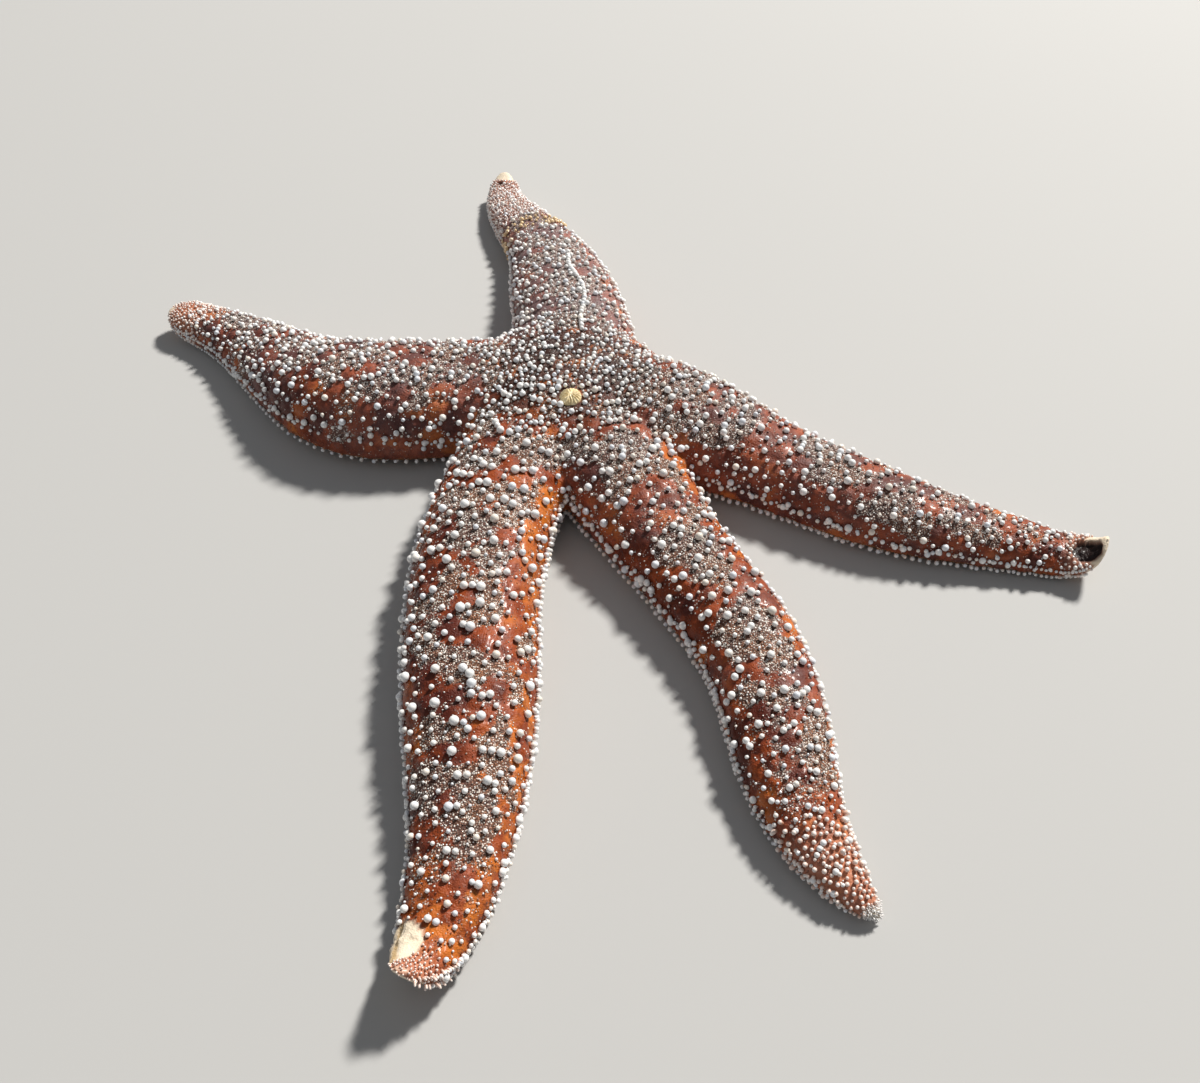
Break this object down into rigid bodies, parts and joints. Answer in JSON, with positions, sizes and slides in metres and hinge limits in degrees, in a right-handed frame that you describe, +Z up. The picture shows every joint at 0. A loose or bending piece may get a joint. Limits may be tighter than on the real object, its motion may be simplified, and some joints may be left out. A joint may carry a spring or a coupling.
{
  "type": "starfish",
  "caption": "Five-armed sea star with long slender spiny arms curved in a crawling pose, lying flat on its grooved mouth side, life size.",
  "frame": {"origin": "middle of the footprint at floor level, below the animal", "axes": "+Z up, away from the floor; -Y towards the two near arms, +X towards the right arm"},
  "size_m": [0.2192, 0.2554, 0.0208],
  "materials": {
    "skin": "wet orange-brown skin with dark mottling, fine pale grains and rounded white spines",
    "tip_skin": "paler pinkish skin of the arm tips",
    "sieve_plate": "chalky pale yellow plate with fine grooves",
    "membrane": "soft moist pinkish membrane"
  },
  "bodies": {
    "root": {"disc": "skin", "madreporite": "sieve_plate", "mouth": "membrane", "arm_near_left_inner": "skin", "arm_near_left_outer": "skin", "arm_near_left_tip": "tip_skin", "arm_near_right_inner": "skin", "arm_near_right_outer": "skin", "arm_near_right_tip": "tip_skin", "arm_right_inner": "skin", "arm_right_outer": "skin", "arm_right_tip": "tip_skin", "arm_far_inner": "skin", "arm_far_outer": "skin", "arm_far_tip": "tip_skin", "arm_left_inner": "skin", "arm_left_outer": "skin", "arm_left_tip": "tip_skin"}
  },
  "joints": []
}
